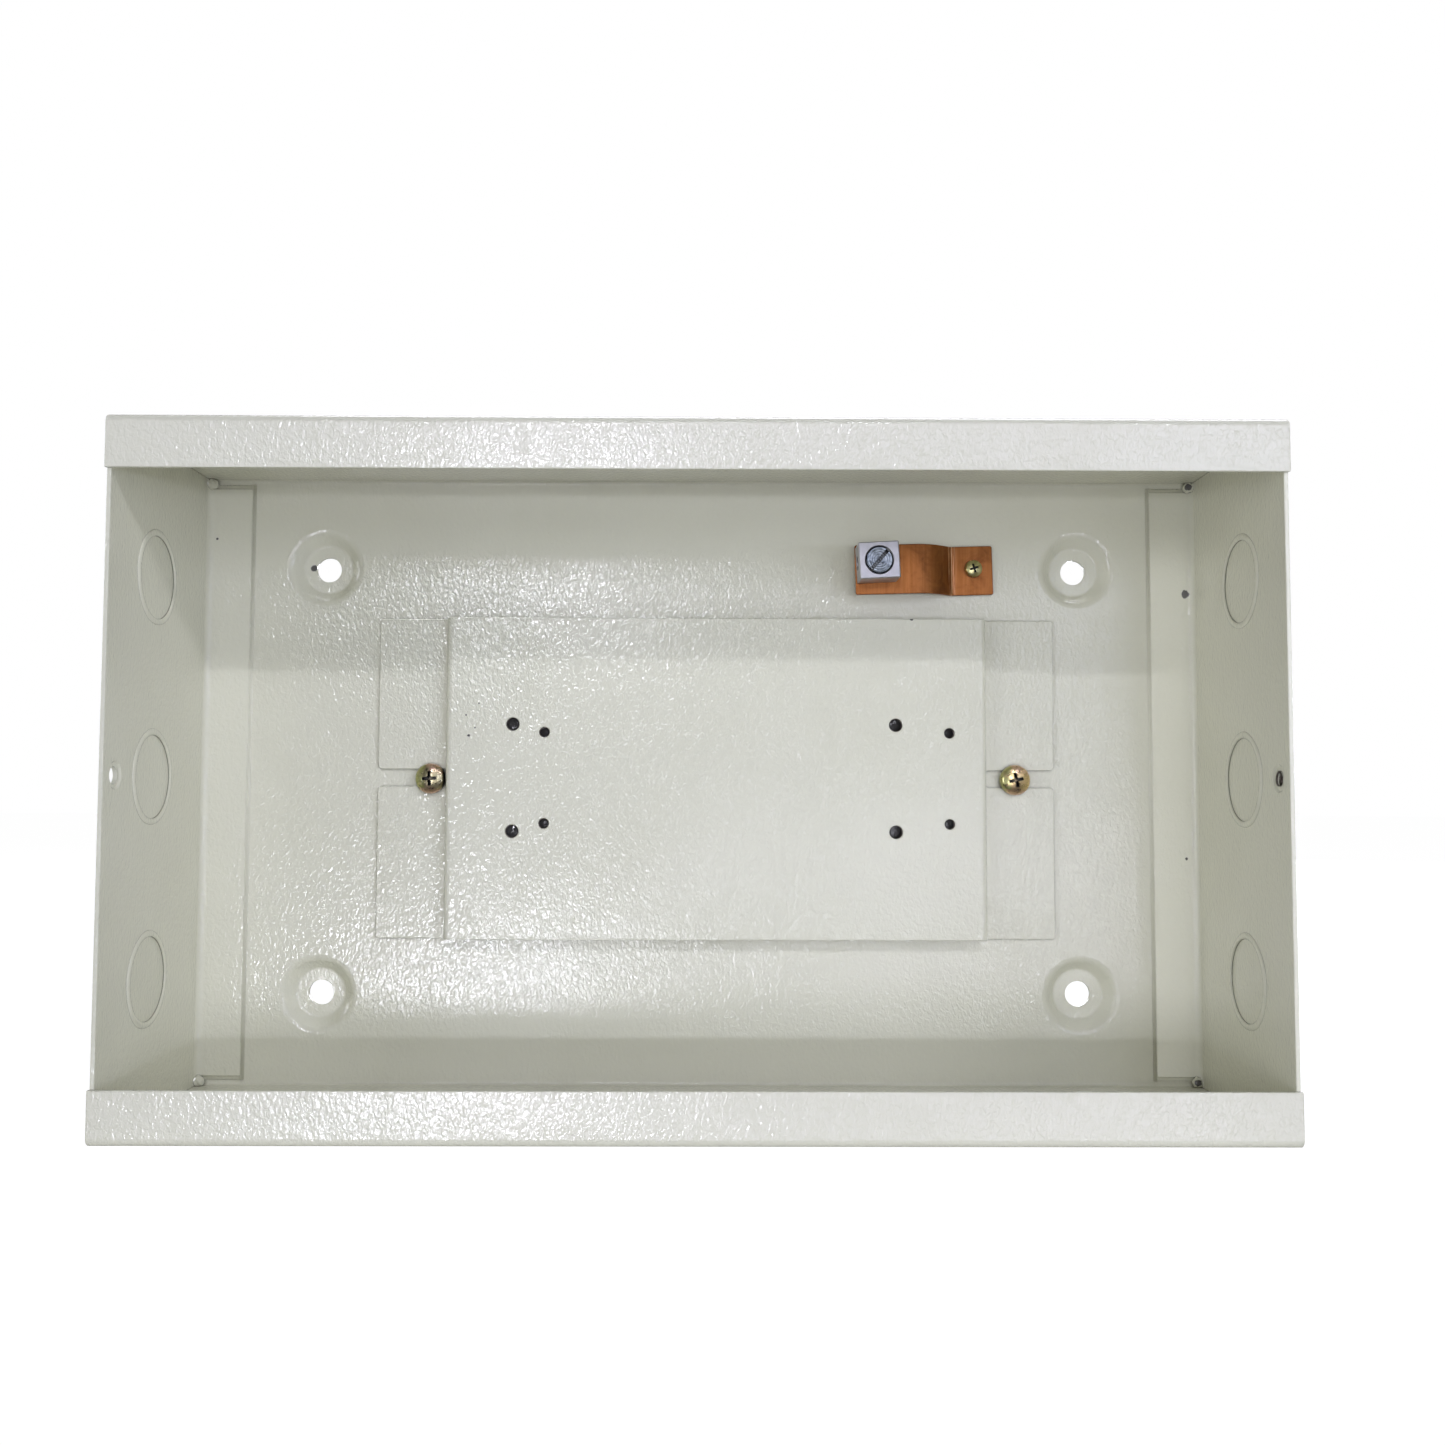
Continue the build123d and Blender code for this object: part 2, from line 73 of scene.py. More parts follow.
def hole_places(name):
    """The hole centres of a rectangular pattern of four that faces -Y."""
    mount = mounts[name]
    centre = Vector(mount["pos_m"])
    half_x = mount["dims"]["spacing_x_mm"] * MM / 2
    half_z = mount["dims"]["spacing_y_mm"] * MM / 2
    corners = ((-half_x, -half_z), (half_x, -half_z), (-half_x, half_z), (half_x, half_z))
    return [centre + Vector((x, 0, z)) for x, z in corners]


# ------------------------------------------------------------------ camera
camera_lens = 34.1
camera_sensor = 36.0
camera_place = Vector((4.5, -443.7, -6.2)) * MM
camera_pitch = math.radians(3.23)
camera_yaw = math.radians(-0.33)
camera_roll = math.radians(-0.16)

camera_data = bpy.data.cameras.new("camera")
camera_data.lens = camera_lens
camera_data.sensor_width = camera_sensor
camera_data.clip_start = 0.01
camera = bpy.data.objects.new("camera", camera_data)
camera.location = camera_place
camera.rotation_euler = (math.pi / 2 + camera_pitch, camera_roll, camera_yaw)
bpy.context.scene.collection.objects.link(camera)
bpy.context.scene.camera = camera
bpy.context.scene.view_settings.view_transform = "Standard"


# ------------------------------------------------------------------ shader helpers
def new_tree(name):
    """A new material and its node tree, with only the output in it."""
    material = bpy.data.materials.new(name)
    material.use_nodes = True
    tree = material.node_tree
    tree.nodes.clear()
    tree.nodes.new("ShaderNodeOutputMaterial")
    return material, tree


def put(tree, kind, options=None, **inputs):
    """Adds a node.  options are its own settings; inputs are sockets by name, as values or links."""
    made = tree.nodes.new("ShaderNode" + kind)
    for key, value in (options or {}).items():
        setattr(made, key, value)
    for key, value in inputs.items():
        feed(tree, made.inputs[key.replace("_", " ")], value)
    return made


def feed(tree, socket, value):
    """Sets an input socket, or links an output into it."""
    if isinstance(value, bpy.types.NodeSocket):
        tree.links.new(value, socket)
    else:
        socket.default_value = value


def maths(tree, operation, *values, clamp=False):
    """A Math node's result."""
    made = tree.nodes.new("ShaderNodeMath")
    made.operation = operation
    made.use_clamp = clamp
    for socket, value in zip(made.inputs, values):
        feed(tree, socket, value)
    return made.outputs[0]


def spread(tree, value, low_in, high_in, low_out, high_out, smooth=False):
    """value mapped from one range to another, held at the ends."""
    kind = "SMOOTHSTEP" if smooth else "LINEAR"
    made = put(tree, "MapRange", {"interpolation_type": kind}, Value=value, From_Min=low_in,
               From_Max=high_in, To_Min=low_out, To_Max=high_out)
    return made.outputs["Result"]


def blend_colour(tree, share, first, second, kind="MIX"):
    """Two colours mixed by share."""
    made = tree.nodes.new("ShaderNodeMix")
    made.data_type = "RGBA"
    made.blend_type = kind
    colours = [socket for socket in made.inputs if socket.type == "RGBA"]
    feed(tree, made.inputs[0], share)
    feed(tree, colours[0], first)
    feed(tree, colours[1], second)
    return [socket for socket in made.outputs if socket.type == "RGBA"][0]


def here(tree):
    """The point being shaded, in the part's frame at rest."""
    return put(tree, "TexCoord").outputs["Object"]


def stretched(tree, place, scale, shift=(0, 0, 0), turn=(0, 0, 0)):
    """place scaled by axis, turned and shifted, for streaks and for a different pattern."""
    made = put(tree, "Mapping", Vector=place, Scale=scale, Location=shift, Rotation=turn)
    return made.outputs[0]


def noise(tree, place, scale, detail=2.0, roughness=0.5, distortion=0.0):
    """Soft noise between about 0.3 and 0.7."""
    made = put(tree, "TexNoise", Vector=place, Scale=scale, Detail=detail, Roughness=roughness,
               Distortion=distortion)
    return made.outputs[0]


def raised(tree, height, depth, normal=None):
    """A bump of the given real depth, in metres, on top of another."""
    made = put(tree, "Bump", Height=height, Distance=depth)
    if normal is not None:
        feed(tree, made.inputs["Normal"], normal)
    return made.outputs[0]


def painted_recess_shade(tree, reach, open_level, closed_level):
    """1 in corners and recesses narrower than reach, 0 on open faces: the mask for painted shade there."""
    openness = put(tree, "AmbientOcclusion", {"samples": 6}, Distance=reach).outputs["AO"]
    return spread(tree, openness, closed_level, open_level, 1.0, 0.0)


def finish_surface(tree, **inputs):
    """The Principled surface, joined to the output."""
    surface = put(tree, "BsdfPrincipled", None, **inputs)
    output = next(n for n in tree.nodes if n.type == "OUTPUT_MATERIAL")
    tree.links.new(surface.outputs[0], output.inputs["Surface"])
    return surface


# ------------------------------------------------------------------ materials
PAINT = (0.765, 0.763, 0.635, 1)
PAINT_THIN = (0.738, 0.736, 0.605, 1)
# Painted shade for the corners of the paint.
PAINT_CORNER_SHADE = (0.34, 0.335, 0.26, 1)
# Bare steel for chips and grit, and also painted shade behind the plate's holes and in the open reliefs.
BARE_STEEL_AND_SHADE = (0.115, 0.112, 0.105, 1)
ZINC_DULL = (0.13, 0.15, 0.175, 1)
ZINC_CLEAN = (0.36, 0.40, 0.45, 1)
ALUMINIUM_DULL = (0.44, 0.435, 0.46, 1)
ALUMINIUM_CLEAN = (0.54, 0.535, 0.57, 1)
# Painted shade for recesses in the metal parts.
RECESS_SHADE = (0.035, 0.033, 0.030, 1)
COPPER_DULL = (0.31, 0.115, 0.035, 1)
COPPER_CLEAN = (0.40, 0.155, 0.052, 1)
COPPER_STAIN = (0.19, 0.070, 0.024, 1)
COPPER_RUBBED = (0.86, 0.52, 0.32, 1)
THREAD_ROOT = (0.07, 0.06, 0.05, 1)
THREAD_CREST = (0.24, 0.21, 0.19, 1)
FLOOR_SEEN = (0.12, 0.12, 0.12, 1)
FLOOR_PALE = (0.93, 0.93, 0.93, 1)
FLOOR_PALER = (0.96, 0.96, 0.96, 1)
# Radius of the painted shade behind each hole of the plate.
shade_spot_radius = 6.5 * MM
grain_scale = 980.0
grain_depth = 0.155 * MM


def painted_steel(name, shift, film_radius, corner_shade_reach, chips_and_void_shade=(), shade_spots=()):
    """Glossy powder coat with the leathery grain of a thick film.

    film_radius is the rounding of the film over an edge, and the reach after it the width of the painted
    shade in the corners.  Each chip is a place and a radius of bare steel; on the right-hand dabs they are
    painted shade of the open reliefs.  The spots after them are places on the inside of the back, behind
    the holes of the plate, painted dark as the shade between the plate and the back.
    """
    material, tree = new_tree(name)
    place = here(tree)
    moved = stretched(tree, place, (1, 1, 1), shift)
    rounded = put(tree, "Bevel", {"samples": 4}, Radius=film_radius).outputs[0]
    tall = stretched(tree, moved, (1, 1, 0.7))
    leather = noise(tree, tall, grain_scale, detail=1.0, roughness=0.4, distortion=0.6)
    fine = noise(tree, moved, grain_scale * 2.7, detail=2.0)
    sag = noise(tree, moved, 45.0, detail=1.0)
    film = maths(tree, "ADD", leather, maths(tree, "MULTIPLY", fine, 0.15))
    normal = raised(tree, sag, 0.12 * MM, rounded)
    normal = raised(tree, film, grain_depth, normal)
    thin = noise(tree, moved, 18.0, detail=4.0)
    colour = blend_colour(tree, spread(tree, thin, 0.50, 0.75, 0.0, 1.0), PAINT, PAINT_THIN)
    colour = blend_colour(tree, specks(tree, moved), colour, BARE_STEEL_AND_SHADE)
    # Painted shade in the corners.
    colour = blend_colour(tree, painted_recess_shade(tree, corner_shade_reach, 0.80, 0.30), colour, PAINT_CORNER_SHADE)
    # Chip marks of bare steel; on the right-hand dabs, painted shade of the open reliefs.
    for spot, radius in chips_and_void_shade:
        ragged = noise(tree, place, 0.9 / radius, detail=3.0)
        edge = maths(tree, "ADD", away_from(tree, place, spot), maths(tree, "MULTIPLY", ragged, radius))
        dark_spot_mask = spread(tree, edge, 1.35 * radius, 1.55 * radius, 1.0, 0.0)
        colour = blend_colour(tree, dark_spot_mask, colour, BARE_STEEL_AND_SHADE)
        normal = raised(tree, dark_spot_mask, -0.06 * MM, normal)
    # Painted shade behind the plate's holes, on the inside of the back.
    if shade_spots:
        depth = put(tree, "SeparateXYZ", Vector=place).outputs["Y"]
        indoors = maths(tree, "LESS_THAN", depth, back_inner_y + sheet / 2)
        for spot in shade_spots:
            gap = away_from(tree, place, spot)
            patch = spread(tree, gap, 0.85 * shade_spot_radius, shade_spot_radius, 1.0, 0.0)
            colour = blend_colour(tree, maths(tree, "MULTIPLY", patch, indoors), colour, BARE_STEEL_AND_SHADE)
    gloss = spread(tree, noise(tree, moved, 35.0, detail=3.0), 0.35, 0.65, 0.04, 0.08)
    finish_surface(tree, Base_Color=colour, Roughness=gloss, Normal=normal, IOR=1.5)
    return material


def away_from(tree, place, spot):
    """The distance from spot."""
    gap = put(tree, "VectorMath", {"operation": "DISTANCE"}, Vector=place)
    gap.inputs[1].default_value = spot
    return gap.outputs["Value"]


def specks(tree, place):
    """Rare dark points of grit in the film."""
    cells = put(tree, "TexVoronoi", Vector=place, Scale=34.0)
    near = spread(tree, cells.outputs["Distance"], 0.0035, 0.0055, 1.0, 0.0)
    chance = put(tree, "SeparateColor", Color=cells.outputs["Color"]).outputs[0]
    return maths(tree, "MULTIPLY", near, maths(tree, "GREATER_THAN", chance, 0.72))


def plated_screw(name, centre, tones, roughness):
    """Passivated zinc: a metal whose tint drifts across the head, with die marks and rubbed edges."""
    body_tone, rim_tone, blush_tone = tones
    material, tree = new_tree(name)
    place = stretched(tree, here(tree), (1, 1, 1), -centre)
    across = put(tree, "SeparateXYZ", Vector=place)
    drift = noise(tree, place, 300.0, detail=3.0, distortion=1.0)
    wander = maths(tree, "MULTIPLY", maths(tree, "SUBTRACT", drift, 0.5), 9 * MM)
    leftness = maths(tree, "ADD", across.outputs["X"], wander)
    height = maths(tree, "ADD", maths(tree, "ABSOLUTE", across.outputs["Z"]), wander)
    rim = spread(tree, leftness, -3.4 * MM, -1.6 * MM, 1.0, 0.0)
    blush = spread(tree, height, 2.2 * MM, 3.6 * MM, 0.0, 1.0)
    colour = blend_colour(tree, blush, body_tone, blush_tone)
    colour = blend_colour(tree, rim, colour, rim_tone)
    # Painted shade in the cross recess and other hollows of the head.
    colour = blend_colour(tree, painted_recess_shade(tree, 2.0 * MM, 0.80, 0.50), colour, RECESS_SHADE)
    wear = noise(tree, place, 900.0, detail=2.0)
    normal = raised(tree, noise(tree, place, 2600.0, detail=3.0), 0.008 * MM)
    normal = raised(tree, wear, 0.018 * MM, normal)
    gloss = spread(tree, wear, 0.3, 0.7, roughness - 0.05, roughness + 0.10)
    finish_surface(tree, Base_Color=colour, Metallic=1.0, Roughness=gloss, Normal=normal)
    return material


def turned_steel(name, centre):
    """Dull zinc on a turned end: rings round the axis, stains, and painted shade in the slot and the gap."""
    material, tree = new_tree(name)
    place = stretched(tree, here(tree), (1, 1, 1), -centre)
    flat = put(tree, "SeparateXYZ", Vector=place)
    radius = maths(tree, "SQRT", maths(tree, "ADD", maths(tree, "POWER", flat.outputs["X"], 2.0),
                                       maths(tree, "POWER", flat.outputs["Z"], 2.0)))
    stain = noise(tree, place, 700.0, detail=3.0)
    wobble = maths(tree, "ADD", radius, maths(tree, "MULTIPLY", stain, 0.15 * MM))
    ring = maths(tree, "SINE", maths(tree, "MULTIPLY", wobble, 2 * math.pi / (0.75 * MM)))
    colour = blend_colour(tree, spread(tree, stain, 0.35, 0.65, 0.0, 1.0), ZINC_DULL, ZINC_CLEAN)
    colour = blend_colour(tree, spread(tree, ring, 0.1, 0.9, 0.0, 0.55), colour, ZINC_DULL)
    # Painted shade in the slot and the gap.
    colour = blend_colour(tree, painted_recess_shade(tree, 1.2 * MM, 0.92, 0.55), colour, RECESS_SHADE)
    normal = raised(tree, ring, 0.03 * MM)
    normal = raised(tree, noise(tree, place, 2200.0, detail=3.0), 0.01 * MM, normal)
    gloss = spread(tree, stain, 0.3, 0.7, 0.26, 0.40)
    finish_surface(tree, Base_Color=colour, Metallic=1.0, Roughness=gloss, Normal=normal)
    return material


def threaded_steel(name):
    """Bare cut steel in a tapped hole: dark oil in the roots, bright on the crests."""
    material, tree = new_tree(name)
    place = here(tree)
    stain = noise(tree, place, 900.0, detail=3.0)
    colour = blend_colour(tree, spread(tree, stain, 0.35, 0.65, 0.0, 1.0), THREAD_ROOT, THREAD_CREST)
    normal = raised(tree, stain, 0.02 * MM)
    finish_surface(tree, Base_Color=colour, Metallic=1.0, Roughness=0.38, Normal=normal)
    return material


def rolled_copper(name):
    """Bare copper strip: faint drawn streaks, brown stains, and rub marks by the crease."""
    material, tree = new_tree(name)
    place = here(tree)
    streaks = noise(tree, stretched(tree, place, (1400, 400, 60)), 1.0, detail=4.0, roughness=0.6)
    stain = noise(tree, place, 150.0, detail=5.0, roughness=0.65, distortion=0.6)
    colour = blend_colour(tree, spread(tree, streaks, 0.35, 0.65, 0.0, 1.0), COPPER_DULL, COPPER_CLEAN)
    colour = blend_colour(tree, spread(tree, stain, 0.48, 0.72, 0.0, 0.85), colour, COPPER_STAIN)
    across = put(tree, "SeparateXYZ", Vector=place).outputs["X"]
    crease_x = middle("strap_screw").x - 8.3 * MM
    near_crease = maths(tree, "MULTIPLY", spread(tree, across, crease_x, crease_x + 0.3 * MM, 0.0, 1.0),
                        spread(tree, across, crease_x + 0.6 * MM, crease_x + 3.0 * MM, 1.0, 0.0))
    scratch = noise(tree, stretched(tree, place, (2600, 300, 70)), 1.0, detail=3.0, roughness=0.7)
    rubbed = maths(tree, "MULTIPLY", near_crease, spread(tree, scratch, 0.46, 0.56, 0.0, 0.9))
    colour = blend_colour(tree, rubbed, colour, COPPER_RUBBED)
    rounded = put(tree, "Bevel", {"samples": 4}, Radius=0.45 * MM).outputs[0]
    normal = raised(tree, streaks, 0.012 * MM, rounded)
    normal = raised(tree, noise(tree, place, 900.0, detail=4.0), 0.02 * MM, normal)
    gloss = spread(tree, stain, 0.3, 0.7, 0.34, 0.48)
    finish_surface(tree, Base_Color=colour, Metallic=1.0, Roughness=gloss, Normal=normal)
    return material


def sawn_aluminium(name):
    """Extruded aluminium: a satin face with drawn lines and a faint oxide."""
    material, tree = new_tree(name)
    place = here(tree)
    lines = noise(tree, stretched(tree, place, (1500, 300, 120)), 1.0, detail=3.0)
    oxide = noise(tree, place, 300.0, detail=4.0)
    colour = blend_colour(tree, spread(tree, oxide, 0.35, 0.65, 0.0, 1.0), ALUMINIUM_DULL, ALUMINIUM_CLEAN)
    # Painted shade in the hollows.
    colour = blend_colour(tree, painted_recess_shade(tree, 1.0 * MM, 0.80, 0.40), colour, RECESS_SHADE)
    normal = raised(tree, lines, 0.012 * MM)
    gloss = spread(tree, oxide, 0.3, 0.7, 0.38, 0.52)
    finish_surface(tree, Base_Color=colour, Metallic=1.0, Roughness=gloss, Normal=normal)
    return material


def plain_floor(name):
    """A pale matt floor with a faint mottle.  The camera sees it nearly white, with a soft shadow."""
    material, tree = new_tree(name)
    mottle = noise(tree, here(tree), 3.0, detail=3.0)
    pale = blend_colour(tree, spread(tree, mottle, 0.3, 0.7, 0.0, 1.0), FLOOR_PALE, FLOOR_PALER)
    seen = put(tree, "LightPath").outputs["Is Camera Ray"]
    colour = blend_colour(tree, seen, pale, FLOOR_SEEN)
    glow = maths(tree, "MULTIPLY", seen, 0.985)
    finish_surface(tree, Base_Color=colour, Roughness=0.8, Emission_Color=(1, 1, 1, 1),
                   Emission_Strength=glow)
    return material


def coat(name, material):
    """Gives a CAD node its material."""
    mesh_object = frame["nodes"][name]
    mesh_object.data.materials.clear()
    mesh_object.data.materials.append(material)


BROWN_TONES = ((0.52, 0.46, 0.28, 1), (0.44, 0.44, 0.20, 1), (0.60, 0.41, 0.31, 1))
YELLOW_TONES = ((0.74, 0.56, 0.29, 1), (0.50, 0.48, 0.22, 1), (0.76, 0.53, 0.37, 1))
OLIVE_TONES = ((0.60, 0.55, 0.28, 1), (0.42, 0.42, 0.17, 1), (0.50, 0.46, 0.20, 1))
wall_hole = hole_places("wall_mount")[2]
plate_low, plate_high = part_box("mounting_plate")
# Chips in the paint down to bare steel, by node: their places and radii.
CHIPS = {
    "enclosure_body": ((wall_hole + Vector((-5.0, -1.2, 0.6)) * MM, 1.1 * MM),),
    "side_panel_left": ((Vector((-155.7, -6.6, 77.1)) * MM, 0.4 * MM),),
    "side_panel_right": ((Vector((155.0, -6.6, -24.6)) * MM, 0.5 * MM),
                         (Vector((155.8, -6.8, 60.3)) * MM, 1.3 * MM)),
    "mounting_plate": ((Vector((-73.3, -11.2, 13.8)) * MM, 0.45 * MM),
                       (Vector((-71.4, -11.2, 16.3)) * MM, 0.30 * MM),
                       (Vector((-74.2, -11.2, 20.3)) * MM, 0.30 * MM),
                       (Vector((-70.2, -11.2, 24.0)) * MM, 0.25 * MM),
                       (Vector((67.0 * MM, plate_low.y, plate_high.z)), 0.60 * MM)),
}
device_holes = hole_places("device_mount_large") + hole_places("device_mount_small")
# Places on the back behind the plate's holes, where shade is painted dark.
behind_plate = [Vector((place.x, back_inner_y, place.z)) for place in device_holes]
knockouts = [name for name in frame["nodes"] if name.startswith("knockout")]
painted = ["enclosure_body", "side_panel_left", "side_panel_right", "mounting_plate"] + knockouts
for number, name in enumerate(painted):
    shift = (0.37 * number, 0.11 * number, 0.23 * number)
    radius, reach = (0.35 * MM, 1.2 * MM) if name == "enclosure_body" else (0.12 * MM, 0.4 * MM)
    if name == "mounting_plate":
        reach = 1.6 * MM
    shade_spots = behind_plate if name == "enclosure_body" else ()
    coat(name, painted_steel("paint_" + name, shift, radius, reach, CHIPS.get(name, ()), shade_spots))
for name, tones in (("plate_screw_left", BROWN_TONES), ("plate_screw_right", YELLOW_TONES)):
    coat(name, plated_screw("zinc_" + name, middle(name), tones, 0.28))
coat("strap_screw", plated_screw("zinc_strap_screw", middle("strap_screw"), OLIVE_TONES, 0.30))
coat("lug_clamp_screw", turned_steel("turned_clamp_screw", middle("lug_clamp_screw")))
coat("lug_fixing_screw", turned_steel("turned_fixing_screw", middle("lug_fixing_screw")))
coat("ground_strap", rolled_copper("rolled_copper"))
coat("ground_lug", sawn_aluminium("sawn_aluminium"))


# ------------------------------------------------------------------ detail pieces
def new_piece(name, points, faces, material, body):
    """A mesh piece that rides on a CAD body, with its outside facing out."""
    mesh = bpy.data.meshes.new(name)
    mesh.from_pydata(points, [], faces)
    shape = bmesh.new()
    shape.from_mesh(mesh)
    bmesh.ops.recalc_face_normals(shape, faces=shape.faces)
    shape.to_mesh(mesh)
    shape.free()
    mesh.materials.append(material)
    for face in mesh.polygons:
        face.use_smooth = True
    piece = bpy.data.objects.new(name, mesh)
    bpy.context.scene.collection.objects.link(piece)
    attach(piece, body)
    return piece


bead_sections = 96
bead_arc = 9
bead_inset = 0.35 * MM  # the bead starts this far inside the cut and covers it
bead_skirt = 0.36 * MM  # its inner edge reaches this deep, because the disc is struck outward
bead_sink = 0.05 * MM  # the rest of it stands this deep in the panel


def knockout_bead(node, material):
    """The raised lip of paint and struck metal round a knockout, on the inside of its panel.

    It is widest and highest towards the open front.
    """
    start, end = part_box(node)
    centre = (start + end) / 2
    side = 1 if centre.x > 0 else -1
    start_radius = (end.z - start.z) / 2 - bead_inset
    points = []
    for step in range(bead_sections):
        angle = 2 * math.pi * step / bead_sections
        forward = -math.cos(angle)
        width = (1.9 + 0.5 * forward + 0.1 * math.sin(5 * angle)) * MM
        height = (0.46 + 0.10 * forward) * MM
        for place in range(bead_arc):
            arc = math.pi * place / (bead_arc - 1)
            radius = start_radius + width * (1 - math.cos(arc)) / 2
            sunk = bead_skirt if place == 0 else bead_sink
            rise = height * math.sin(arc) - sunk
            points.append((side * (inner_wall_x - rise), centre.y + radius * math.cos(angle),
                           centre.z + radius * math.sin(angle)))
    faces = []
    for step in range(bead_sections):
        here_row = step * bead_arc
        next_row = (step + 1) % bead_sections * bead_arc
        for place in range(bead_arc):
            after = (place + 1) % bead_arc
            faces.append((here_row + place, here_row + after, next_row + after, next_row + place))
    name = node.replace("knockout", "knockout_bead")
    new_piece(name, points, faces, material, "enclosure")


bead_paint = painted_steel("paint_beads", (0.5, 0.9, 0.1), 0.2 * MM, 0.5 * MM)
for name in knockouts:
    knockout_bead(name, bead_paint)


def weld_dab(name, place, radius, material):
    """A lumpy dab of weld that closes the round relief at the end of a panel's bend."""
    shape = bmesh.new()
    bmesh.ops.create_icosphere(shape, subdivisions=4, radius=radius)
    for vertex in shape.verts:
        along = vertex.co / radius
        broad = 0.08 * math.sin(5 * along.x + 3 * along.z)
        vertex.co *= 1 + broad + 0.05 * math.sin(9 * along.y - 4 * along.x)
    points = [place + vertex.co for vertex in shape.verts]
    faces = [[corner.index for corner in face.verts] for face in shape.faces]
    shape.free()
    new_piece(name, points, faces, material, "enclosure")


dab_radius = 1.7 * MM
relief_x = inner_wall_x - 1.3 * MM
relief_y = -7.2 * MM
relief_z = 94.8 * MM
# The dark spots on the right-hand dabs are painted shade of the open reliefs.
void_shade_radius = 1.2 * MM
void_shade_spots = [(Vector((relief_x - 0.5 * MM, relief_y - 1.6 * MM, end * relief_z)), void_shade_radius)
               for end in (-1, 1)]
dab_paint = painted_steel("paint_dabs", (0.2, 0.4, 0.7), 0.1 * MM, 0.3 * MM, void_shade_spots)
for side, side_name in ((-1, "left"), (1, "right")):
    for end, end_name in ((-1, "bottom"), (1, "top")):
        place = Vector((side * relief_x, relief_y, end * relief_z))
        weld_dab("weld_dab_%s_%s" % (side_name, end_name), place, dab_radius, dab_paint)

fillet_steps = 6
fillet_reach = 0.8 * MM


def flange_fillet(name, side, material):
    """The paint that fills the step at the free edge of a side panel's back flange."""
    start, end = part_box("side_panel_left" if side < 0 else "side_panel_right")
    edge_x = min(abs(start.x), abs(end.x))
    front_y = back_inner_y - sheet
    profile = [(edge_x + 0.2 * MM, front_y + 0.5 * sheet), (edge_x + 0.15 * MM, front_y - 0.02 * MM)]
    for step in range(fillet_steps + 1):
        share = step / fillet_steps
        profile.append((edge_x - fillet_reach * share, front_y + sheet * (1 - (1 - share) ** 2)))
    profile.append((edge_x - fillet_reach, back_inner_y + 0.1 * MM))
    profile.append((edge_x + 0.2 * MM, back_inner_y + 0.1 * MM))
    count = len(profile)
    ends = (-relief_z, relief_z)
    points = [(side * x, y, z) for z in ends for x, y in profile]
    faces = [tuple(range(count)), tuple(range(count, 2 * count))]
    for place in range(count):
        after = (place + 1) % count
        faces.append((place, after, count + after, count + place))
    new_piece(name, points, faces, material, "enclosure")


for side, side_name in ((-1, "left"), (1, "right")):
    flange_fillet("flange_fillet_" + side_name, side, bead_paint)

thread_steps = 20
thread_height = 0.24 * MM


def thread_strip(start, axis, radius, pitch, length):
    """The points and faces of a helical ridge inside a bore, tapered away at both ends."""
    turn = Vector(axis).to_track_quat("Z", "X").to_matrix()
    count = int(length / pitch * thread_steps)
    points = []
    for step in range(count + 1):
        angle = 2 * math.pi * step / thread_steps
        along = length * step / count
        taper = min(1.0, 4 * step / count, 4 * (count - step) / count)
        crest = radius - thread_height * taper
        outward = Vector((math.cos(angle), math.sin(angle), 0))
        root = radius + 0.05 * MM
        for reach, offset in ((root, -0.42), (crest, -0.06), (crest, 0.06), (root, 0.42)):
            points.append(Vector(start) + turn @ (outward * reach + Vector((0, 0, along + offset * pitch))))
    faces = [(0, 1, 2, 3), tuple(4 * count + corner for corner in (3, 2, 1, 0))]
    for step in range(count):
        for corner in range(4):
            after = (corner + 1) % 4
            near, far = 4 * step, 4 * step + 4
            faces.append((near + corner, near + after, far + after, far + corner))
    return points, faces


def tapped_holes(name, places, axis, radius, pitch, length, body):
    """One piece that holds the threads of a set of equal tapped holes."""
    points = []
    faces = []
    for place in places:
        strip, quads = thread_strip(place, axis, radius, pitch, length)
        faces += [tuple(len(points) + corner for corner in quad) for quad in quads]
        points += strip
    new_piece(name, points, faces, threaded_steel("cut_steel_" + name), body)


m5_pitch = 0.8 * MM
m4_pitch = 0.7 * MM
into_wall = (0, 1, 0)
outward_right = (1, 0, 0)
device_thread_lead = 0.5 * MM
device_thread_length = 1.8 * MM
cover_thread_lead = 0.4 * MM
cover_thread_length = 1.5 * MM
for name, pitch in (("device_mount_large", m5_pitch), ("device_mount_small", m4_pitch)):
    radius = mounts[name]["dims"]["hole_r_mm"] * MM
    places = [place + Vector(into_wall) * device_thread_lead for place in hole_places(name)]
    tapped_holes("threads_" + name, places, into_wall, radius, pitch, device_thread_length, "mounting_plate")
cover_hole = mounts["cover_screw_right"]
cover_radius = cover_hole["dims"]["r_mm"] * MM
cover_reach = cover_hole["dims"]["length_mm"] * MM - cover_thread_lead
cover_start = Vector(cover_hole["pos_m"]) - Vector((cover_reach, 0, 0))
tapped_holes("threads_cover_hole", [cover_start], outward_right, cover_radius, m5_pitch,
             cover_thread_length, "enclosure")


# ------------------------------------------------------------------ stage and light
lamp_wall_y = -1.6
floor_half = 8.0
surround_level = 0.03


def area_light(name, place, target, size_x, size_y, power, colour, shade=True, highlights=True):
    """A rectangular lamp at place that faces target.  The camera does not see it.

    shade is its part in the shading of surfaces, and highlights its part in their reflections.
    """
    data = bpy.data.lights.new(name, "AREA")
    data.shape = "RECTANGLE"
    data.size = size_x
    data.size_y = size_y
    data.energy = power
    data.color = colour
    lamp = bpy.data.objects.new(name, data)
    lamp.location = place
    lamp.rotation_euler = (Vector(target) - Vector(place)).to_track_quat("-Z", "Y").to_euler()
    lamp.visible_camera = False
    lamp.visible_diffuse = shade
    lamp.visible_glossy = highlights
    bpy.context.scene.collection.objects.link(lamp)
    return lamp


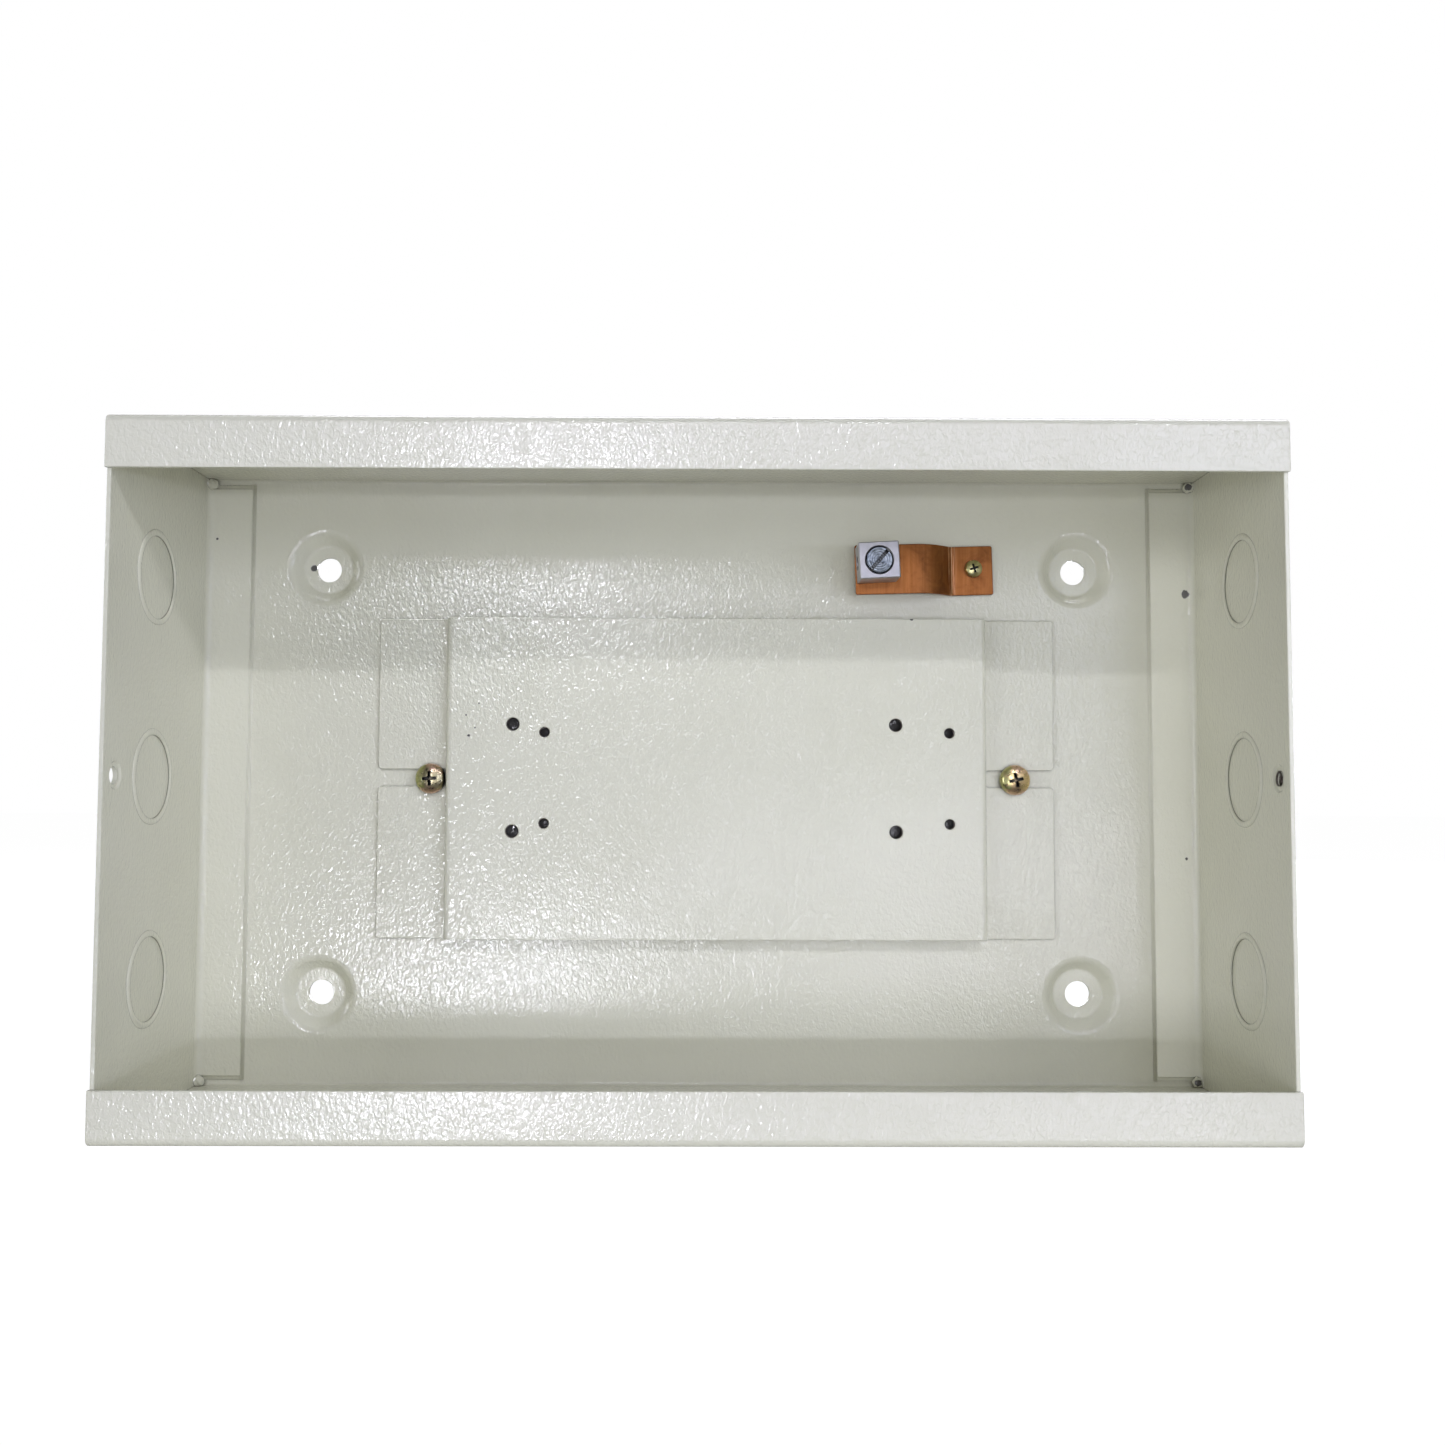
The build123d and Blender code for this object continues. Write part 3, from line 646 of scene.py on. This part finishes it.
def front_light(name, x, z, size_x, size_y, power, colour, shade=True, highlights=True):
    """A lamp on the wall of lamps in front of the box, facing straight back."""
    place = (x, lamp_wall_y, z)
    return area_light(name, place, (x, 0, z), size_x, size_y, power, colour, shade, highlights)


def light_only(lamps, collection_name, receivers):
    """Makes the lamps light nothing but the receivers."""
    lit = bpy.data.collections.new(collection_name)
    for receiver in receivers:
        lit.objects.link(receiver)
    for lamp in lamps:
        lamp.light_linking.receiver_collection = lit


def pale_floor():
    """A wide floor under the box."""
    mesh = bpy.data.meshes.new("floor")
    outline = ((-1, -1), (1, -1), (1, 1), (-1, 1))
    corners = [(x * floor_half, y * floor_half, floor_z) for x, y in outline]
    mesh.from_pydata(corners, [], [(0, 1, 2, 3)])
    floor = bpy.data.objects.new("floor", mesh)
    mesh.materials.append(plain_floor("floor"))
    bpy.context.scene.collection.objects.link(floor)
    # Low lamps shine through the floor, so that they reach the box as they would from over a table.
    floor.visible_shadow = False
    floor.visible_glossy = False


def room_light(strength):
    """An even white surround: full white to the camera, dimmer as light."""
    world = bpy.data.worlds.new("surround")
    world.use_nodes = True
    bpy.context.scene.world = world
    tree = world.node_tree
    tree.nodes.clear()
    direct = put(tree, "LightPath").outputs["Is Camera Ray"]
    level = spread(tree, direct, 0.0, 1.0, strength, 1.0)
    ground = put(tree, "Background", None, Color=(1, 1, 1, 1), Strength=level)
    output = tree.nodes.new("ShaderNodeOutputWorld")
    tree.links.new(ground.outputs[0], output.inputs["Surface"])


COOL = (0.93, 0.99, 1.28)
LILAC = (1.05, 0.98, 1.25)
NEUTRAL = (1.00, 1.00, 1.12)
WHITE = (1.00, 1.00, 1.00)
pale_floor()
room_light(surround_level)
centre = Vector((0, -0.03, 0))

# Rows of tubes: the low ones and the high ones make the level edges of shadow on the back.
front_light("low_row", 0.25, -0.11, 0.7, 0.03, 1.4, NEUTRAL)
area_light("low_row_right", (1.8, lamp_wall_y, -0.11), (0.54, 0, -0.11), 0.8, 0.03, 3.8, COOL)
area_light("low_row_left", (-1.8, lamp_wall_y, -0.11), (-0.54, 0, -0.11), 0.8, 0.03, 2.4, COOL)
area_light("high_row", (0.25, -1.75, 1.18), (0.25, 0, 0.03), 1.0, 0.04, 6.0, NEUTRAL)
area_light("high_row_right", (1.8, -1.75, 1.18), (0.54, 0, 0.03), 0.8, 0.05, 9.6, NEUTRAL)

# Soft panels in front and to the sides.
front_light("panel_upper", 0.14, 0.33, 0.5, 0.5, 2.0, NEUTRAL, highlights=False)
front_light("panel_lower", 0.02, -0.29, 0.5, 0.3, 2.7, NEUTRAL, highlights=False)
front_light("panel_right", 0.78, 0.27, 0.5, 0.5, 2.2, COOL)
front_light("panel_right_low", 0.85, -0.20, 0.4, 0.4, 1.8, NEUTRAL, highlights=False)
area_light("left_wall", (-2.0, -1.2, 0.0), centre, 1.0, 1.0, 9.0, WHITE)
area_light("right_wall", (2.0, -1.2, 0.0), centre, 1.0, 1.0, 3.0, WHITE)
area_light("rear_panel", (0.5, 1.8, 0.12), centre, 1.4, 0.2, 14.0, NEUTRAL)

# The bright windows that make the paint sparkle.
front_light("window_upper", -0.23, 0.37, 0.13, 0.17, 3.0, NEUTRAL, shade=False)
front_light("window_lower", -0.30, -0.31, 0.30, 0.18, 5.4, NEUTRAL, shade=False)
front_light("window_right", 0.55, -0.14, 0.05, 0.12, 0.9, NEUTRAL, shade=False)

# Light from above and behind for the top and the back.  The floor does not take it, or it would
# fill the shadows.
overhead = area_light("overhead", (0.2, 0.9, 1.9), centre, 2.0, 1.2, 40.0, NEUTRAL)
rear_left = area_light("rear_left", (-1.9, 0.7, 0.5), centre, 1.0, 0.8, 16.0, NEUTRAL)
whole_part = [thing for thing in bpy.context.scene.objects if thing.type == "MESH" and thing.name != "floor"]
light_only((overhead, rear_left), "whole_part", whole_part)

# The right flange takes light that the end wall keeps from it in this plain set of lamps.
strip_place = (0.12, lamp_wall_y, 0.28)
strip_fill = area_light("strip_fill", strip_place, (0.15, 0, 0.03), 0.3, 0.3, 3.0, NEUTRAL, highlights=False)
light_only((strip_fill,), "right_panel", (frame["nodes"]["side_panel_right"],))

# The long panels that the lips of the box mirror, dimmer to the left.
upper_sheen_z = 0.55
lower_sheen_z = -0.47
sheen_height = 0.16
sheen_row = (("right", 0.28, 1.4, 3.4), ("middle", -0.56, 0.28, 0.46), ("left", -0.95, 0.5, 0.3))
rim_lamps = []
for where, z in (("upper", upper_sheen_z), ("lower", lower_sheen_z)):
    for side, x, width, power in sheen_row:
        name = "sheen_%s_%s" % (where, side)
        rim_lamps.append(front_light(name, x, z, width, sheen_height, power, LILAC, shade=False))
light_only(rim_lamps, "rims", (frame["nodes"]["enclosure_body"],))
